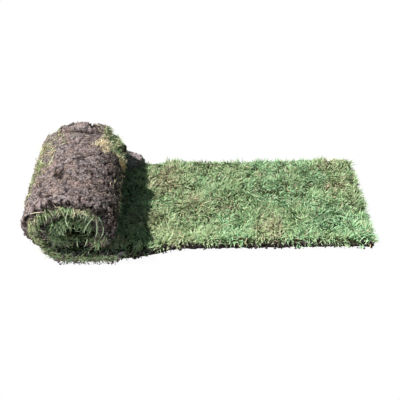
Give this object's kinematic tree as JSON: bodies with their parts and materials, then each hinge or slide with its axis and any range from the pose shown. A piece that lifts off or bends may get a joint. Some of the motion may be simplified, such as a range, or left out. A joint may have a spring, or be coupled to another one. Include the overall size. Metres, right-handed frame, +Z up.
{
  "type": "roll of turf",
  "caption": "Partly unrolled strip of cut turf, soil and roots underneath with grass on top, lying flat from a sagging spiral roll at its end.",
  "frame": {"origin": "on the underside of the strip, midway across its flat run and below the middle of the roll", "axes": "+X along the strip from the roll to the cut end, +Y across the strip to its far edge, +Z up from the floor to the grass"},
  "size_m": [1.0888, 0.446, 0.2577],
  "materials": {
    "soil": "matte",
    "grass": "matte"
  },
  "bodies": {
    "root": {"soil_mat": "soil", "grass": "grass"}
  },
  "joints": []
}
